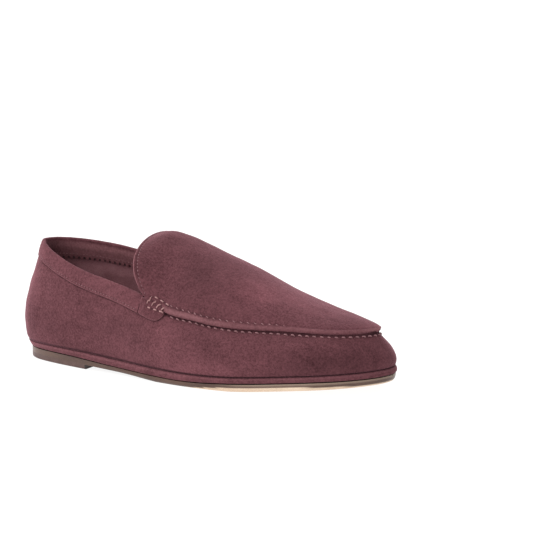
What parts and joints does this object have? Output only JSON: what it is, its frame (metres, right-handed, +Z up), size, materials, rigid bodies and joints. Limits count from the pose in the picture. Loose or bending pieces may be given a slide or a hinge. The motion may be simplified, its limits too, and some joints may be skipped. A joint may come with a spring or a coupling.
{
  "type": "slip-on loafer",
  "caption": "Right-foot suede slip-on loafer with a raised hand-sewn apron, bound topline, low heel and leather sole.",
  "frame": {"origin": "on the ground, below the middle of the shoe's box", "axes": "+X towards the toe, +Y towards the inner side of the right foot, +Z up"},
  "size_m": [0.283, 0.105, 0.0951],
  "materials": {
    "suede": "napped suede, plum",
    "lining_leather": "soft matt leather, dark plum",
    "thread": "waxed thread, pale plum",
    "sole_leather": "stained and waxed edge, natural underside",
    "heel_rubber": "matt dark brown",
    "stiffener_board": "pressed fibre",
    "insole_board": "pressed fibre",
    "cork": "granular cork",
    "foam": "soft open foam",
    "steel": "plain steel"
  },
  "bodies": {
    "root": {"side_wall": "suede", "apron": "suede", "topline_binding": "suede", "outer_tab": "suede", "inner_tab": "suede", "quarter_lining": "lining_leather", "vamp_lining": "lining_leather", "apron_lining": "lining_leather", "heel_counter": "stiffener_board", "toe_puff": "stiffener_board", "binding_thread_outer": "thread", "binding_thread_inner": "thread", "tongue_thread": "thread", "apron_edge_thread": "thread", "moccasin_thread": "thread", "outer_whip_thread": "thread", "inner_whip_thread": "thread", "rand": "suede", "outsole": "sole_leather", "heel_lift": "sole_leather", "heel_top_piece": "heel_rubber", "heel_nail_1": "steel", "heel_nail_2": "steel", "heel_nail_3": "steel", "heel_nail_4": "steel", "heel_nail_5": "steel", "bottom_filler": "cork", "shank": "steel", "insole_board": "insole_board", "heel_pad": "foam", "sock_lining": "lining_leather"}
  },
  "joints": []
}
